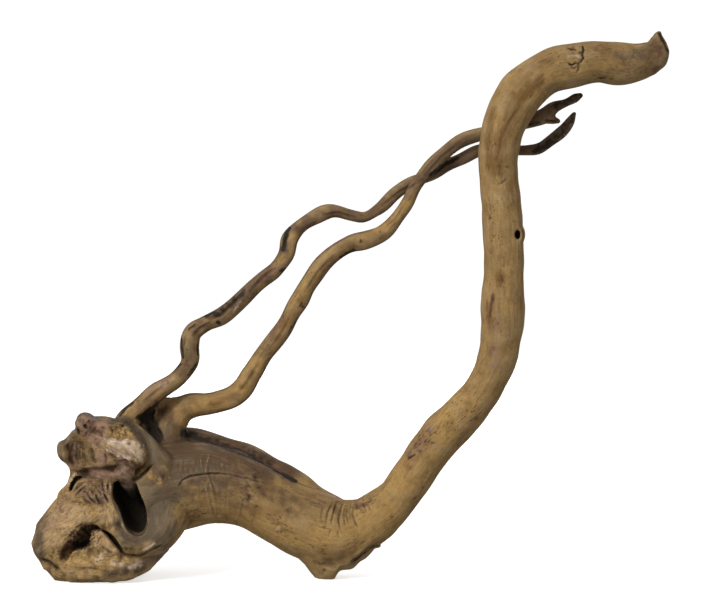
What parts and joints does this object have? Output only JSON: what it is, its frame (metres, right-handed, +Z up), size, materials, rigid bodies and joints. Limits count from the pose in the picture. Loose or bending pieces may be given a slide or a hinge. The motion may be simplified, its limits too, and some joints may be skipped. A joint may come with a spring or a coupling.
{
  "type": "driftwood root",
  "caption": "Dry, weathered root: a hollow broken stump with a heavy limb that dips, rises and arches over, and thin wavy branches that lean across behind it.",
  "frame": {"origin": "centre of the base of the bounding box, on the floor that the stump and the elbow's foot stand on", "axes": "+X from the stump towards the far end of the heavy limb, +Z up, -Y the side that shows the stump's hollow"},
  "size_m": [0.4763, 0.0962, 0.4096],
  "materials": {
    "weathered_wood": "bare, dry and weathered, matt"
  },
  "bodies": {
    "root": {"root": "weathered_wood"}
  },
  "joints": []
}
